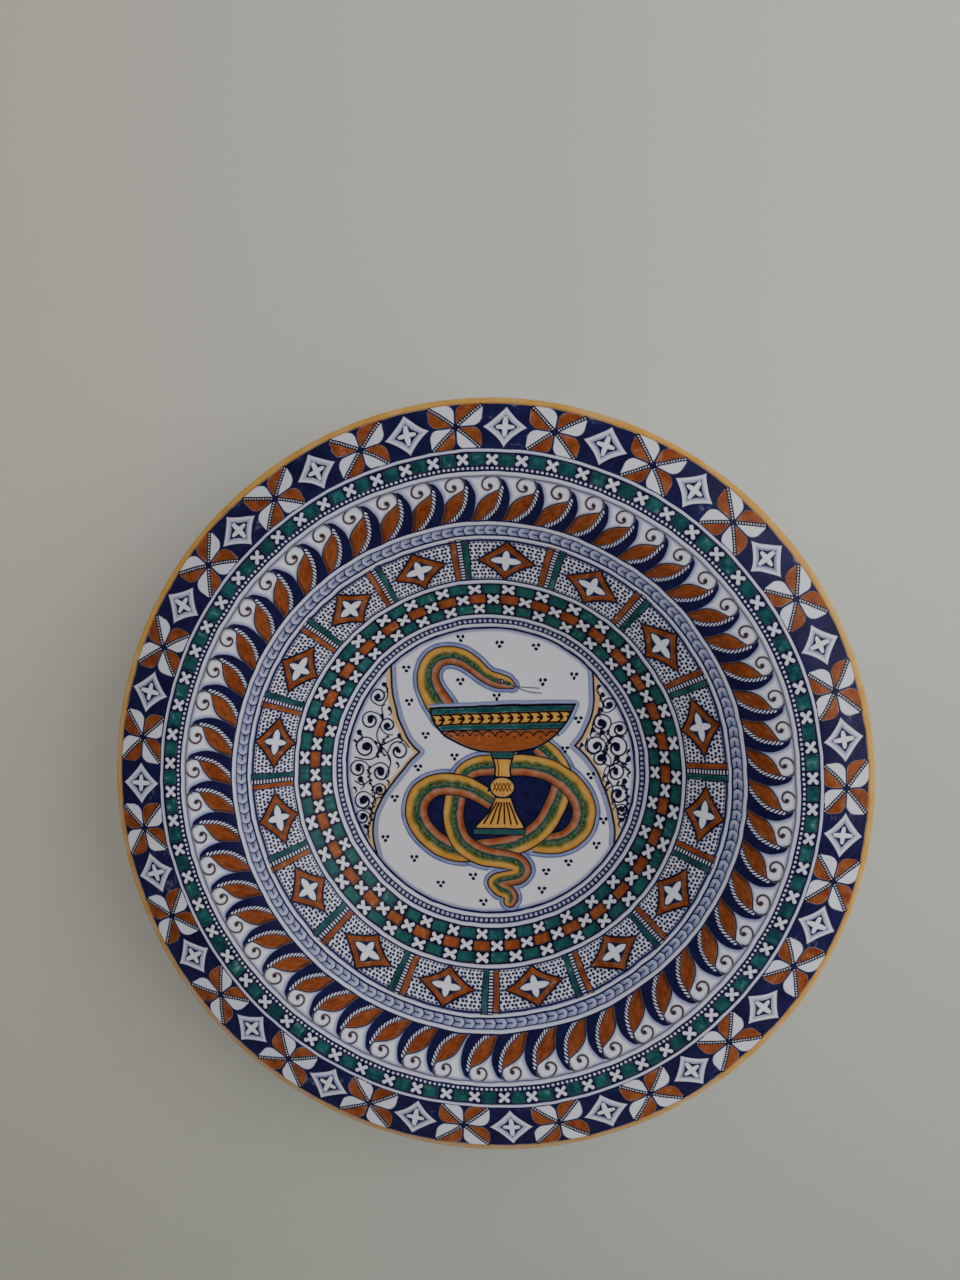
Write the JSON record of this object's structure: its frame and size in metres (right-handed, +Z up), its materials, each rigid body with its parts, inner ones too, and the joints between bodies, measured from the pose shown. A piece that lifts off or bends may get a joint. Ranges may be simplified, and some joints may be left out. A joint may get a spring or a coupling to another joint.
{
  "type": "decorative wall plate",
  "caption": "Large round glazed earthenware wall plate with a domed flange, sunk flat well, painted bands, and a steel hanging wire through its foot ring.",
  "frame": {"origin": "on the plate's axis, half way between the front of the flange and the wall", "axes": "-Y is the way the painted face looks, +Y goes into the wall along the plate's axis, +Z is up as it hangs, +X is to the right seen from the front"},
  "size_m": [0.42, 0.057, 0.42],
  "materials": {
    "terracotta": "bare fired clay, matt",
    "painted_glaze": "painted tin glaze, glossy",
    "white_glaze": "plain tin glaze, glossy",
    "steel_wire": "drawn wire, satin"
  },
  "bodies": {
    "plate": {"clay_body": "terracotta", "front_glaze": "painted_glaze", "underside_glaze": "white_glaze", "recess_glaze": "white_glaze"},
    "wire": {"hanging_wire": "steel_wire"}
  },
  "joints": [
    {"name": "wire_hinge", "type": "hinge", "parent": "plate", "child": "wire", "pos_m": [0, 0.024, 0.0745], "axis": [-1, 0, 0], "range_deg": [-22, 120]}
  ]
}
